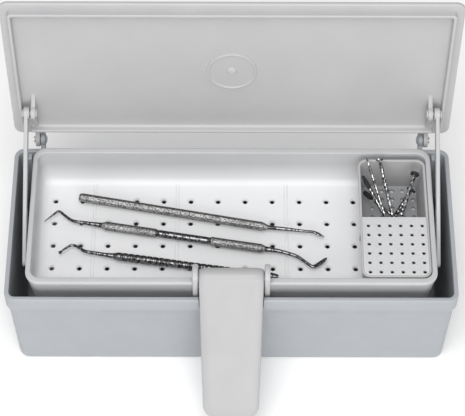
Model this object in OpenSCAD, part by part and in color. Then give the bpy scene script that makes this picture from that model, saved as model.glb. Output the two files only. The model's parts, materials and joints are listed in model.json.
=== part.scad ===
// Dental instrument soaking box: linked lid, lifting perforated tray,
// front lever, bur basket and loose hand instruments.
// Millimetres. X right, Y back, Z up, origin at the centre of the base.

/* [Box] */
// outer width over the collar
box_width = 256.4; // [254.4:0.2:262]
// outer depth over the collar
box_depth = 104; // [104:1:108]
// overall height of the box without its lid
box_height = 72; // [68:1:80]
// wall thickness at the rim
rim_wall = 2.8; // [2.4:0.1:3]
// height of the thicker collar below the rim
collar_height = 11.5; // [9.5:0.5:14]
// how far the collar stands out from the wall
collar_step = 1.2; // [0.6:0.1:1.4]
// inward draft of each wall from collar to base
box_draft = 1.2; // [0.5:0.1:1.5]
// floor thickness
floor_thick = 2.5; // [2:0.1:4]
// depth of the dip in the front rim for the lever
dip_depth = 8.5; // [8.3:0.1:9]

/* [Lid] */
// angle the lid stands open at
lid_open = 96.2; // [90:0.1:100]
// plate thickness
lid_thick = 2.8; // [2.2:0.1:3.2]
// height of the locating rib inside the lid
lid_rib_height = 4; // [2.5:0.1:4]
// diameter of the moulded ring
lid_ring_dia = 28.5; // [20:0.5:36]

/* [Tray] */
// outer width over the rim
tray_width = 232; // [228:0.5:232]
// outer depth over the rim
tray_depth = 92.2; // [90:0.2:92.2]
// rim top above the rim of the box when raised
tray_raise = 8.7; // [8:0.1:9]
// floor top below the rim of the box when raised
tray_floor_drop = 16.6; // [15:0.1:17]
// diameter of the drain holes below their countersinks
drain_dia = 2.7; // [2:0.1:3.4]
// columns of drain holes
drain_cols = 14; // [8:1:14]
// rows of drain holes
drain_rows = 4; // [2:1:4]
// spacing of the columns
drain_pitch_x = 16; // [12:0.5:16]
// spacing of the rows
drain_pitch_y = 15.4; // [12:0.2:15.4]

/* [Lever] */
// angle of the raised lever below the horizontal
lever_angle = 50; // [49:0.5:51]
// length from pivot to tip
lever_length = 84.8; // [70:0.2:95]
// width beside the pivot
lever_width = 36.6; // [34:0.2:36.6]
// width before the rounded end
lever_tip_width = 32.1; // [28:0.1:33]

/* [Bur basket] */
// outer width
basket_width = 39.5; // [39:0.1:39.5]
// outer depth
basket_depth = 80.2; // [79:0.2:80.2]
// drain hole diameter in the basket floor
basket_hole_dia = 2.4; // [1.5:0.1:2.4]
// hole diameter in the cover plate
plate_hole_dia = 2; // [1.5:0.1:2.6]

/* [Hand instruments] */
// handle diameter across corners of the excavator
excavator_dia = 5.4; // [4.5:0.1:6]
// handle diameter of the explorer
explorer_dia = 5.2; // [4.5:0.1:6]
// largest handle diameter of the probe
probe_dia = 5; // [4:0.1:6]

/* [Hidden] */
rim_z = box_height;
rim_side = 2.6;
eps = 0.01;
plastic = [0.80, 0.82, 0.84];
pale = [0.86, 0.87, 0.89];
steel = [0.66, 0.67, 0.69];
dark = [0.12, 0.12, 0.13];

inner_half_x = box_width/2 - rim_side;
inner_half_y = box_depth/2 - rim_wall;
box_corner = 6;
base_edge = 2;
rail_x = 119.15;
rail_width = 2.2;
rail_front = 45.5;
rail_drop = 2;

hinge_y = 58.5;
hinge_r = 4.3;
hinge_pin_r = 1.2;
hinge_gap = 0.06;
box_knuckle_in = 110.5;
box_knuckle_out = 113.1;
fin_in = 113.5;
fin_out = 116.2;

lid_rear = 5.5;
lid_front = 112;
lid_corner = 5;
rib_side = 123.5;
rib_front = 107.35;
rib_rear = 10.2;
lid_rib_wall = 1.8;
ring_s = 59;
ear_s = 30;
ear_d = 6.3;
ear_r = 4;

link_in = 117.8;
link_out = 120.1;
link_eye_in = 117;
link_eye_out = 120.4;
link_eye_r = 3.6;
link_half = 3;
link_pin_r = 1.5;
link_gap = 0.06;
link_slot_half = 1.95;
link_slot_start = 56.5;
link_slot_end = 85.8;
link_dip = 28.2;

stub_y = -20;
stub_z = -10;
stub_r = 1.7;
stub_end = 117.4;

tray_rim_x = 2.9;
tray_rim_y = 3.9;
tray_y = 0.5;
tray_lip = 0.6;
tray_wall = 2.2;
tray_flange = 2.2;
tray_corner = 8;
tray_top_z = rim_z + tray_raise;
tray_floor_z = rim_z - tray_floor_drop;
tray_floor_thick = 2.2;
tray_edge = 4;
tray_draft_x = 1.5;
tray_draft_y = 3;
drain_y0 = 25.7;
rib_x = [-80.8, -32, 32];
rib_half = 0.85;
rib_width = 0.7;
drain_flare = 0.65;
drain_sink = 1;

lever_y = -42.5;
lever_z = 10.1;
lever_hub_r = 5.5;
lever_boss_r = 3.5;
lever_boss_half = 18.5;
lever_pin_r = 1.5;
lever_gap = 0.06;
lever_top = 5.4;
lever_plate = 2;
lever_round = [[0.9, 2], [2.4, 0.7], [4.4, 0]];
lever_skirt = 3.5;
lever_skirt_start = 14;
lever_end_r = 9;
lug_in = 18.7;
lug_out = 21.8;
lug_r = 7.5;
lug_front = -47.6;

basket_x = 93.15;
basket_y = -0.7;
basket_draft_x = 2;
basket_draft_y = 2.6;
basket_floor_z = tray_floor_z + 0.3;
basket_top_z = rim_z + 8;
basket_wall = 1.6;
basket_corner = 5;
basket_edge = 3.6;
basket_pitch = 6.05;
basket_hole_x = 95;
basket_hole_y = 1.6;
plate_thick = 1.4;
plate_rear = -0.7;
plate_inset = 1.1;
plate_hole_count = 6;
plate_hole_pitch = 6.15;
plate_hole_x0 = 78.2;
plate_hole_y0 = -6.6;

axis_z = rim_z - 12.6;

// ---- helpers -------------------------------------------------------------

module rounded_rect(w, d, r) {
    square([w - 2*r, d], center = true);
    square([w, d - 2*r], center = true);
    for (x = [-1, 1], y = [-1, 1])
        translate([x*(w/2 - r), y*(d/2 - r)])
            circle(r, $fn = 40);
}

// thin slices that round the lower edge of a hulled tub
module edge_slices(w, d, r, e, z) {
    for (a = [0 : 22.5 : 90])
        translate([0, 0, z + e*(1 - cos(a))])
            linear_extrude(eps)
                rounded_rect(w - 2*e*(1 - sin(a)), d - 2*e*(1 - sin(a)), r);
}

// tapered tub: rounded slab on top, rounded lower edge
module tub(w1, d1, z1, w0, d0, z0, r, e) {
    hull() {
        translate([0, 0, z1 - eps])
            linear_extrude(eps)
                rounded_rect(w1, d1, r);
        edge_slices(w0, d0, r, e, z0);
    }
}

// tangent outline around two circles, in the plane of the circles
module arm(p, rp, q, rq) {
    t = atan2(q[1] - p[1], q[0] - p[0]);
    a = acos((rp - rq)/norm(q - p));
    translate(p)
        circle(rp, $fn = 48);
    translate(q)
        circle(rq, $fn = 48);
    polygon([
        p + rp*[cos(t + a), sin(t + a)],
        q + rq*[cos(t + a), sin(t + a)],
        q + rq*[cos(t - a), sin(t - a)],
        p + rp*[cos(t - a), sin(t - a)]
    ]);
}

// draws a (y, z) outline as a plate from x0 to x1
module plate_x(x0, x1) {
    translate([x0, 0, 0])
        rotate([90, 0, 90])
            linear_extrude(x1 - x0)
                children();
}

// plates on both sides of the middle
module both_x(x0, x1) {
    plate_x(x0, x1)
        children();
    plate_x(-x1, -x0)
        children();
}

module rod_x(x0, x1, r) {
    translate([x0, 0, 0])
        rotate([0, 90, 0])
            cylinder(h = x1 - x0, r = r, $fn = 48);
}

// places children so that their z axis runs from p to q
module along(p, q) {
    d = q - p;
    translate(p)
        rotate([0, acos(d[2]/norm(d)), atan2(d[1], d[0])])
            children();
}

// round bar through points with a radius at each point
function unit(v) = v/norm(v);
function tangent_at(p, i) = unit(p[min(i + 1, len(p) - 1)] - p[max(i - 1, 0)]);
function side_of(t) = unit(cross(t, abs(t[2]) > 0.9 ? [1, 0, 0] : [0, 0, 1]));
module swept(p, r, n = 10) {
    m = len(p);
    ring = [for (i = [0 : m - 1], k = [0 : n - 1])
        let (t = tangent_at(p, i), u = side_of(t), v = cross(u, t))
        p[i] + r[i]*(cos(360*k/n)*u + sin(360*k/n)*v)];
    quads = [for (i = [0 : m - 2], k = [0 : n - 1])
        [i*n + k, i*n + (k + 1)%n, (i + 1)*n + (k + 1)%n, (i + 1)*n + k]];
    ends = [[for (k = [n - 1 : -1 : 0]) k], [for (k = [0 : n - 1]) (m - 1)*n + k]];
    polyhedron(points = ring, faces = concat(quads, ends), convexity = 6);
}

// ---- box -----------------------------------------------------------------

module dip_outline() {
    half = lever_width/2;
    translate([-half, -dip_depth + 2])
        square([2*half, dip_depth + 2]);
    translate([-half + 2, -dip_depth])
        square([2*half - 4, 4]);
    for (s = [-1, 1])
        translate([s*(half - 2), -dip_depth + 2])
            circle(2, $fn = 32);
}

module base_box() {
    wall_w = box_width - 2*collar_step;
    wall_d = box_depth - 2*collar_step;
    color(plastic) {
        difference() {
            union() {
                translate([0, 0, rim_z - collar_height])
                    linear_extrude(collar_height)
                        rounded_rect(box_width, box_depth, box_corner);
                tub(wall_w, wall_d, rim_z - collar_height + 0.5,
                    wall_w - 2*box_draft, wall_d - 2*box_draft, 0, box_corner, base_edge);
                translate([0, 0, rim_z])
                    both_x(box_knuckle_in, box_knuckle_out)
                        knuckle_outline();
            }
            tub(2*inner_half_x, 2*inner_half_y, rim_z + 1,
                2*inner_half_x - 4, 2*inner_half_y - 4, floor_thick, 3.5, 2);
            translate([0, -box_depth/2 + rim_wall + 3, rim_z])
                rotate([90, 0, 0])
                    linear_extrude(rim_wall + 8)
                        dip_outline();
            translate([0, hinge_y, rim_z])
                rod_x(-box_width, box_width, hinge_pin_r);
        }
        guide_rails();
    }
}

module knuckle_outline() {
    difference() {
        union() {
            translate([hinge_y, 0])
                circle(hinge_r, $fn = 48);
            polygon([
                [inner_half_y + 0.8, -0.6],
                [inner_half_y + 0.8, -8.5],
                [hinge_y + 1, -hinge_r + 0.15],
                [hinge_y, 0],
                [hinge_y - hinge_r + 0.1, -0.6]
            ]);
        }
        translate([0, 0])
            square([inner_half_y, 1]);
    }
}

module guide_rails() {
    low = floor_thick - 0.5;
    height = rim_z - rail_drop - rail_width/2 - low;
    for (s = [-1, 1]) {
        translate([s*rail_x - rail_width/2, rail_front, low])
            cube([rail_width, inner_half_y + 0.6 - rail_front, height]);
        translate([s*rail_x, inner_half_y + 0.6, low + height])
            rotate([90, 0, 0])
                cylinder(h = inner_half_y + 0.6 - rail_front, r = rail_width/2, $fn = 32);
    }
}

module lid_hinge_pin_left() {
    color(steel)
        mirror([1, 0, 0])
            hinge_pin();
}

module lid_hinge_pin_right() {
    color(steel)
        hinge_pin();
}

module hinge_pin() {
    translate([0, hinge_y, rim_z]) {
        rod_x(box_knuckle_in, fin_out + 0.4, hinge_pin_r);
        rod_x(fin_out + 0.4, fin_out + 1.2, hinge_pin_r + 0.8);
    }
}

// ---- lid -----------------------------------------------------------------

// lid outline seen from above, hinge axis at y = 0, free edge towards -y
module lid_outline() {
    translate([0, -(lid_rear + lid_front)/2])
        rounded_rect(box_width, lid_front - lid_rear, lid_corner);
}

// outline of the locating rib, in the same frame
module rib_outline(inset, r) {
    translate([0, -(rib_rear + rib_front)/2])
        rounded_rect(2*rib_side - 2*inset, rib_front - rib_rear - 2*inset, r);
}

module fin_outline() {
    circle(hinge_r, $fn = 48);
    polygon([
        [0, hinge_r],
        [-10, lid_thick],
        [-13, lid_thick],
        [-13, 0.4],
        [-5.9, 0.4],
        [-3.4, -2.6]
    ]);
    translate([-ear_s, -ear_d])
        circle(ear_r, $fn = 48);
    polygon([
        [-11, 0.5],
        [-11, 0],
        [-ear_s + ear_r*sin(26), -ear_d - ear_r*cos(26)],
        [-ear_s, -ear_d],
        [-ear_s - ear_r*cos(20), -ear_d - ear_r*sin(20)],
        [-ear_s - 6.5, 0],
        [-ear_s - 6.5, 0.5]
    ]);
}

module lid_closed() {
    difference() {
        union() {
            linear_extrude(lid_thick)
                lid_outline();
            translate([0, 0, -lid_rib_height])
                linear_extrude(lid_rib_height + 0.5)
                    difference() {
                        rib_outline(0, 3);
                        rib_outline(lid_rib_wall, 1.6);
                    }
            both_x(fin_in, fin_out)
                fin_outline();
            translate([0, -ring_s, 0]) {
                translate([0, 0, -0.8])
                    difference() {
                        cylinder(h = 1.2, r = lid_ring_dia/2, $fn = 64);
                        translate([0, 0, -1])
                            cylinder(h = 3, r = lid_ring_dia/2 - 1.1, $fn = 64);
                    }
                translate([0, 0, -1])
                    cylinder(h = 1.5, r = 2.8, $fn = 40);
            }
        }
        rod_x(-box_width, box_width, hinge_pin_r + hinge_gap);
        translate([0, -ear_s, -ear_d])
            rod_x(-box_width, box_width, link_pin_r);
        // relief over the guide rails and the hinge knuckles of the box
        both_x(rail_x - rail_width/2 - 0.4, rail_x + rail_width/2 + 0.4)
            translate([-hinge_y + rail_front - 0.4, -lid_rib_height - 1])
                square([5, lid_rib_height + 1]);
    }
}

module lid() {
    color(plastic)
        translate([0, hinge_y, rim_z])
            rotate([-lid_open, 0, 0])
                lid_closed();
}

module link_pin() {
    translate([0, hinge_y, rim_z])
        rotate([-lid_open, 0, 0])
            translate([0, -ear_s, -ear_d]) {
                rod_x(fin_in, link_eye_out + 0.3, link_pin_r);
                rod_x(fin_in - 1, fin_in, link_pin_r + 0.9);
                rod_x(link_eye_out + 0.3, link_eye_out + 1.2, link_pin_r + 0.9);
            }
}

module link_pin_left() {
    color(plastic)
        mirror([1, 0, 0])
            link_pin();
}

module link_pin_right() {
    color(plastic)
        link_pin();
}

// ---- links ---------------------------------------------------------------

// link with its eye at the origin and its slot towards -y
module link_flat() {
    difference() {
        union() {
            plate_x(link_in, link_out)
                arm([0, 0], link_half, [-link_slot_end, 0], link_half);
            rod_x(link_eye_in, link_eye_out, link_eye_r);
        }
        rod_x(link_in - 2, link_out + 2, link_pin_r + link_gap);
        plate_x(link_in - 2, link_out + 2)
            arm([-link_slot_start, 0], link_slot_half, [-link_slot_end, 0], link_slot_half);
    }
}

// position of the ear pin with the lid open
ear_y = hinge_y - ear_s*cos(lid_open) - ear_d*sin(lid_open);
ear_z = rim_z + ear_s*sin(lid_open) - ear_d*cos(lid_open);

module link_right() {
    color(plastic)
        translate([0, ear_y, ear_z])
            rotate([link_dip, 0, 0])
                link_flat();
}

module link_left() {
    color(plastic)
        mirror([1, 0, 0])
            translate([0, ear_y, ear_z])
                rotate([link_dip, 0, 0])
                    link_flat();
}

// ---- tray ----------------------------------------------------------------

module instrument_tray() {
    well_w = tray_width - 2*tray_rim_x;
    well_d = tray_depth - 2*tray_rim_y;
    wall_w = well_w + 2*tray_wall;
    wall_d = tray_depth - 2*tray_lip;
    slope_x = 2*tray_draft_x;
    slope_y = 2*tray_draft_y;
    color(pale)
        difference() {
            union() {
                translate([0, tray_y, tray_top_z - tray_flange])
                    linear_extrude(tray_flange)
                        rounded_rect(tray_width, tray_depth, tray_corner);
                translate([0, tray_y, 0])
                    tub(wall_w, wall_d, tray_top_z - tray_flange + 0.5, wall_w - slope_x,
                        wall_d - slope_y, tray_floor_z - tray_floor_thick, 6.5, tray_edge);
                lever_lugs();
                stub_bosses();
            }
            difference() {
                translate([0, tray_y, 0])
                    tub(well_w, well_d, tray_top_z + 1, well_w - slope_x,
                        well_d - slope_y, tray_floor_z, 5, tray_edge);
                floor_ribs();
            }
            drain_holes();
            hub_recess();
            translate([0, lever_y, rim_z + lever_z])
                rod_x(-lug_out - 1, lug_out + 1, lever_pin_r);
            translate([0, stub_y, rim_z + stub_z])
                for (s = [-1, 1])
                    translate([s*113.6, 0, 0])
                        rod_x(-2, 2, stub_r);
        }
}

module floor_ribs() {
    for (x = rib_x, s = [-1, 1])
        translate([x + s*rib_half - rib_width/2, tray_y - tray_depth/2, tray_floor_z - 1])
            cube([rib_width, tray_depth, 1.5]);
}

module drain_holes() {
    for (i = [0 : drain_cols - 1], j = [0 : drain_rows - 1])
        translate([(i - (drain_cols - 1)/2)*drain_pitch_x, drain_y0 - j*drain_pitch_y, tray_floor_z]) {
            translate([0, 0, -tray_floor_thick - 1])
                cylinder(h = tray_floor_thick + 2, r = drain_dia/2, $fn = 32);
            translate([0, 0, -drain_sink])
                cylinder(h = drain_sink + eps, r1 = drain_dia/2, r2 = drain_dia/2 + drain_flare, $fn = 32);
        }
}

// ears of the tray that carry the lever's pin
module lever_lugs() {
    translate([0, 0, rim_z])
        both_x(lug_in, lug_out)
            intersection() {
                union() {
                    translate([lever_y, lever_z])
                        circle(lug_r, $fn = 48);
                    polygon([
                        [lug_front, lever_z],
                        [lug_front, -5],
                        [lug_front + 4, -9],
                        [lever_y + lug_r, -9],
                        [lever_y + lug_r, lever_z]
                    ]);
                }
                translate([lug_front, -20])
                    square([lever_y + lug_r - lug_front, 60]);
            }
}

// clears the lever's hub between the ears
module hub_recess() {
    deep = lever_hub_r + 0.6;
    translate([-lug_in, lever_y - 12, rim_z + lever_z - deep])
        cube([2*lug_in, 24, 2*deep]);
}

module stub_bosses() {
    for (s = [-1, 1])
        translate([s*113.5, stub_y, rim_z + stub_z])
            rod_x(-1.5, 1.5, 3.2);
}

module lift_pin() {
    translate([0, stub_y, rim_z + stub_z])
        rod_x(112.2, stub_end, stub_r);
}

module lift_pin_left() {
    color(steel)
        mirror([1, 0, 0])
            lift_pin();
}

module lift_pin_right() {
    color(steel)
        lift_pin();
}

module lever_pin() {
    color(steel)
        translate([0, lever_y, rim_z + lever_z])
            rod_x(-lug_out, lug_out, lever_pin_r);
}

// ---- lever ---------------------------------------------------------------

// outline seen square on, pivot at the origin, tip towards -y
module lever_outline(inset) {
    w0 = lever_width/2 - inset;
    w1 = lever_tip_width/2 - inset;
    r = lever_end_r - inset;
    y1 = lever_length - lever_end_r;
    polygon([[-w0, 0], [w0, 0], [w1, -y1], [-w1, -y1]]);
    for (s = [-1, 1])
        translate([s*(w1 - r), -y1])
            circle(r, $fn = 48);
    translate([-w1 + r, -y1 - r])
        square([2*(w1 - r), r + 1]);
}

module lever_flat() {
    difference() {
        union() {
            difference() {
                hull() {
                    translate([0, 0, -lever_skirt])
                        linear_extrude(lever_skirt + 1)
                            lever_outline(0);
                    for (k = [0 : len(lever_round) - 1])
                        translate([0, 0, lever_top - lever_round[k][1] - eps])
                            linear_extrude(eps)
                                lever_outline(lever_round[k][0]);
                }
                translate([0, 0, -lever_skirt - 1])
                    linear_extrude(lever_skirt + 1 + lever_top - lever_plate)
                        lever_outline(2);
                translate([-lever_width, -lever_skirt_start, -lever_skirt - 1])
                    cube([2*lever_width, 40, lever_skirt + 1 + lever_top - lever_plate]);
            }
            rod_x(-lever_width/2, lever_width/2, lever_hub_r);
            rod_x(-lever_boss_half, lever_boss_half, lever_boss_r);
        }
        rod_x(-30, 30, lever_pin_r + lever_gap);
    }
}

module lever() {
    color(pale)
        translate([0, lever_y, rim_z + lever_z])
            rotate([lever_angle, 0, 0])
                lever_flat();
}

// ---- bur basket ----------------------------------------------------------

module bur_basket() {
    w0 = basket_width - 2*basket_draft_x;
    d0 = basket_depth - 2*basket_draft_y;
    t = 2*basket_wall;
    color(pale)
        difference() {
            translate([basket_x, basket_y, 0])
                tub(basket_width, basket_depth, basket_top_z,
                    w0, d0, basket_floor_z, basket_corner, basket_edge);
            difference() {
                translate([basket_x, basket_y, 0])
                    tub(basket_width - t, basket_depth - t, basket_top_z + 1,
                        w0 - t, d0 - t, basket_floor_z + basket_wall, basket_corner - 1, 0.7);
                partition();
            }
            translate([0, 0, basket_top_z - plate_thick])
                linear_extrude(plate_thick + 1)
                    plate_outline(0);
            for (i = [-2 : 2], j = [-5 : 5])
                translate([basket_hole_x + i*basket_pitch, basket_hole_y + j*basket_pitch, basket_floor_z - 1])
                    cylinder(h = basket_wall + 2, r = basket_hole_dia/2, $fn = 28);
        }
}

// wall under the rear edge of the cover plate
module partition() {
    translate([basket_x - basket_width/2, plate_rear - 1.6, basket_floor_z])
        cube([basket_width, 1.2, basket_top_z + 2 - basket_floor_z]);
}

// outline of the cover plate, or of the pocket it lies in
module plate_outline(gap) {
    inset = plate_inset + gap;
    rear = plate_rear - gap;
    intersection() {
        translate([basket_x, basket_y])
            rounded_rect(basket_width - 2*inset, basket_depth - 2*inset, basket_corner - inset);
        translate([basket_x - basket_width, rear - basket_depth])
            square([2*basket_width, basket_depth]);
    }
}

module bur_plate() {
    color(pale)
        difference() {
            translate([0, 0, basket_top_z - plate_thick])
                linear_extrude(plate_thick)
                    plate_outline(0.12);
            for (i = [0 : plate_hole_count - 1], j = [0 : plate_hole_count - 1])
                translate([plate_hole_x0 + i*plate_hole_pitch,
                    plate_hole_y0 - j*plate_hole_pitch, basket_top_z - plate_thick - 1])
                    cylinder(h = plate_thick + 2, r = plate_hole_dia/2, $fn = 28);
        }
}

// bur from its head point to its tail point: shank, neck and head radii
module bur(head, tail, shank_r, neck_r, head_r, head_len) {
    len = norm(tail - head);
    along(head, tail)
        rotate_extrude($fn = 40)
            polygon([
                [0, 0],
                [head_r*0.6, 0],
                [head_r, head_len*0.25],
                [head_r, head_len*0.75],
                [neck_r, head_len],
                [neck_r, head_len + 1.2],
                [shank_r, head_len + 3.2],
                [shank_r, len - 0.4],
                [shank_r - 0.4, len],
                [0, len]
            ]);
}

// axle for a wheel: the wheel sits on the neck near the head point
module mandrel(head, tail) {
    len = norm(tail - head);
    along(head, tail)
        rotate_extrude($fn = 40)
            polygon([
                [0, 0],
                [1.3, 0],
                [1.3, 0.6],
                [0.7, 0.6],
                [0.7, 2.2],
                [1.17, 2.2],
                [1.17, len - 0.4],
                [0.8, len],
                [0, len]
            ]);
}

module wheel(head, tail, r) {
    along(head, tail)
        translate([0, 0, 0.65])
            difference() {
                cylinder(h = 1.5, r = r, $fn = 48);
                translate([0, 0, -1])
                    cylinder(h = 4, r = 0.7, $fn = 32);
            }
}

thin_head = [78.5, 36.5, rim_z + 13.2];
thin_tail = [89.1, 3.2, rim_z + 0.1];
cone_head = [85.9, 35.8, rim_z + 13.7];
cone_tail = [93.1, 3.6, rim_z + 1.5];
fissure_head = [76.1, 28.1, rim_z + 7.4];
fissure_tail = [90.5, 3.6, rim_z - 3.2];
round_head = [77.4, 25.3, rim_z - 5.2];
round_tail = [101.6, 3.4, rim_z - 9.2];
disc_head = [107.1, 30.8, rim_z + 7.1];
disc_tail = [97.8, 3.6, rim_z + 2.7];
stone_head = [105.6, 24.3, rim_z + 0.1];
stone_tail = [93.6, 8.7, rim_z - 12.9];

module bur_thin() {
    color(steel)
        bur(thin_head, thin_tail, 0.8, 0.5, 0.6, 4);
}

module bur_cone() {
    color(steel)
        bur(cone_head, cone_tail, 1.17, 0.8, 2.1, 1.6);
}

module bur_fissure() {
    color(dark)
        bur(fissure_head, fissure_tail, 1.1, 0.9, 1.2, 9);
}

module bur_round() {
    color(dark)
        bur(round_head, round_tail, 1, 0.8, 1.4, 7);
}

module disc_mandrel() {
    color(steel)
        mandrel(disc_head, disc_tail);
}

module stone_mandrel() {
    color(steel)
        mandrel(stone_head, stone_tail);
}

module disc_wheel() {
    color(dark)
        wheel(disc_head, disc_tail, 2.6);
}

module stone_wheel() {
    color(dark)
        wheel(stone_head, stone_tail, 2.8);
}

// ---- hand instruments ----------------------------------------------------

function at(p) = [p[0], p[1], axis_z];

// handle with stepped grips, from p to q
module handle(p, q, r, ring_r, steps) {
    len = norm(q - p);
    along(p, q) {
        cylinder(h = len, r = r, $fn = 40);
        for (i = [0 : steps - 1])
            translate([0, 0, 2 + i*(len - 8)/steps])
                cylinder(h = (len - 8)/steps - 1.2, r = ring_r, $fn = 40);
    }
}

excavator_a = at([-89.8, 25.4]);
excavator_b = at([20.9, 4.8]);
excavator_c = at([47.3, 1.6]);
excavator_d = at([53.6, -1.8]);

module excavator_handle() {
    len = norm(excavator_b - excavator_a);
    color(steel)
        along(excavator_a, excavator_b) {
            translate([0, 0, 1])
                rotate([0, 0, 22.5])
                    cylinder(h = len - 4, r = excavator_dia/2, $fn = 8);
            cylinder(h = 1, r = excavator_dia/2 - 0.6, $fn = 40);
            translate([0, 0, len - 3])
                cylinder(h = 3, r1 = excavator_dia/2 - 0.3, r2 = 1.4, $fn = 40);
        }
}

module excavator_tip() {
    color(steel)
        swept([
            excavator_b,
            excavator_b + 0.4*(excavator_c - excavator_b),
            excavator_b + 0.85*(excavator_c - excavator_b),
            excavator_c,
            excavator_d
        ], [1.3, 1.1, 0.8, 0.9, 0.5]);
}

explorer_a = at([-75.7, 6.0]);
explorer_b = at([19.6, -9.9]);
grip_end = 0.345;
grip_start = 0.655;

module explorer_handle() {
    p1 = explorer_a + grip_end*(explorer_b - explorer_a);
    p2 = explorer_a + grip_start*(explorer_b - explorer_a);
    color(steel) {
        handle(explorer_a, p1, explorer_dia/2 - 0.25, explorer_dia/2, 6);
        handle(p1, p2, explorer_dia/2 - 0.45, explorer_dia/2 - 0.45, 1);
        handle(p2, explorer_b, explorer_dia/2 - 0.25, explorer_dia/2, 6);
    }
}

module explorer_tip_left() {
    color(steel)
        swept([
            explorer_a,
            at([-84.6, 7.5]),
            at([-92.6, 9.0]),
            at([-97.6, 12.6]),
            at([-101.2, 15.6]),
            at([-104.2, 13.6]),
            at([-109.4, 8.6])
        ], [1.6, 1.1, 0.9, 0.8, 0.75, 0.6, 0.3]);
}

module explorer_tip_right() {
    color(steel)
        swept([
            explorer_b,
            at([28.6, -11.6]),
            at([37.3, -14.6]),
            at([42.3, -18.4]),
            at([46.6, -21.6]),
            at([50.6, -19.6]),
            at([55.0, -15.9])
        ], [1.6, 1.2, 1.0, 0.9, 0.95, 1.1, 0.8]);
}

probe_a = at([-68.5, -14.9]);
probe_b = at([27.0, -29.0]);

module probe_handle() {
    color(steel)
        handle(probe_a, probe_b, probe_dia/2 - 0.35, probe_dia/2, 11);
}

module probe_tip() {
    color(steel) {
        swept([
            probe_a,
            at([-77.6, -13.4]),
            at([-84.6, -11.9]),
            at([-88.4, -9.4]),
            at([-92.3, -7.7]),
            at([-96.2, -9.9]),
            at([-99.2, -12.7])
        ], [1.5, 1.1, 0.95, 0.85, 0.75, 0.6, 0.5]);
        translate(at([-99.6, -13.1]))
            sphere(r = 0.95, $fn = 24);
    }
}

base_box();
lid_hinge_pin_left();
lid_hinge_pin_right();
lid();
link_pin_left();
link_pin_right();
link_left();
link_right();
instrument_tray();
lift_pin_left();
lift_pin_right();
lever_pin();
lever();
bur_basket();
bur_plate();
bur_thin();
bur_cone();
bur_fissure();
bur_round();
disc_mandrel();
disc_wheel();
stone_mandrel();
stone_wheel();
excavator_handle();
excavator_tip();
explorer_handle();
explorer_tip_left();
explorer_tip_right();
probe_handle();
probe_tip();
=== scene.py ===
"""Looks of a dental instrument soaking box: lid, lifting tray, lever, basket and loose instruments."""
import json
import math
import random

import bpy
import bmesh
import numpy as np
from mathutils import Matrix, Vector


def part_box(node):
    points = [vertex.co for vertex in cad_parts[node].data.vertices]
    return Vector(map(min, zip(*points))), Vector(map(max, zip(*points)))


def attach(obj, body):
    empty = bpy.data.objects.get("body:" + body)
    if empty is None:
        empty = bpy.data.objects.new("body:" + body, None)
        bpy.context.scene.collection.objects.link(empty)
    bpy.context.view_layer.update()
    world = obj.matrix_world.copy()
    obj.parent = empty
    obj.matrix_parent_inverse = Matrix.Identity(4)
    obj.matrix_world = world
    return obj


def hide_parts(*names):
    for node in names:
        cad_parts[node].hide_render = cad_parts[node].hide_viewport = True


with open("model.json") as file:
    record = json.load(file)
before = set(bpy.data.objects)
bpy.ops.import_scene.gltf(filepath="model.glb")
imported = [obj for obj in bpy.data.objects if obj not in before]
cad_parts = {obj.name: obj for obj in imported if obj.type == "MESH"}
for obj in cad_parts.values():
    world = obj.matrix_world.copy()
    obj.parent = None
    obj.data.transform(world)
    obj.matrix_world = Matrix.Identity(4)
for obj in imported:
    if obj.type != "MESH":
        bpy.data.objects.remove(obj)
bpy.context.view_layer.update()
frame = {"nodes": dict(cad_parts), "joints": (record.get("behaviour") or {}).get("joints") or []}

MM = 0.001
JOINTS = {j["name"]: j for j in frame["joints"]}
SIDES = (-1, 1)
SIDE_WORDS = ((-1, "left"), (1, "right"))
SHARP = 32.0  # degrees over which an edge is drawn sharp
CORE = 0.05   # radius that closes a turned profile on its axis
BORE_R = 1.56
PIN_R = 1.5


# ---- mesh helpers (sizes in millimetres, meshes in metres) -----------------

def add_object(name, verts, faces, material, sharp=SHARP):
    """A mesh object with smooth shading and sharp edges above an angle."""
    mesh = bpy.data.meshes.new(name)
    mesh.from_pydata([tuple(v) for v in verts], [], [tuple(f) for f in faces])
    mesh.update()
    obj = bpy.data.objects.new(name, mesh)
    bpy.context.scene.collection.objects.link(obj)
    tidy_mesh(mesh, sharp)
    mesh.materials.append(material)
    return obj


def tidy_mesh(mesh, sharp=SHARP):
    """Welds points, turns faces outward and marks sharp edges."""
    bm = bmesh.new()
    bm.from_mesh(mesh)
    bmesh.ops.remove_doubles(bm, verts=bm.verts, dist=1e-7)
    bmesh.ops.recalc_face_normals(bm, faces=bm.faces)
    bm.to_mesh(mesh)
    bm.free()
    mesh.shade_smooth()
    mesh.set_sharp_from_angle(angle=math.radians(sharp))


def with_modifier(obj, kind, sharp=SHARP, **settings):
    """Adds a modifier, applies it and keeps the result as the object's mesh."""
    mod = obj.modifiers.new(kind.lower(), kind)
    for key, value in settings.items():
        setattr(mod, key, value)
    bpy.context.view_layer.update()
    graph = bpy.context.evaluated_depsgraph_get()
    mesh = bpy.data.meshes.new_from_object(obj.evaluated_get(graph))
    obj.modifiers.clear()
    obj.data = mesh
    tidy_mesh(mesh, sharp)
    return obj


def cut(obj, cutter, sharp=SHARP):
    """Takes the cutter's volume out of the object."""
    with_modifier(obj, "BOOLEAN", sharp, object=cutter, operation="DIFFERENCE", solver="EXACT")
    bpy.data.objects.remove(cutter)
    return obj


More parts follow.
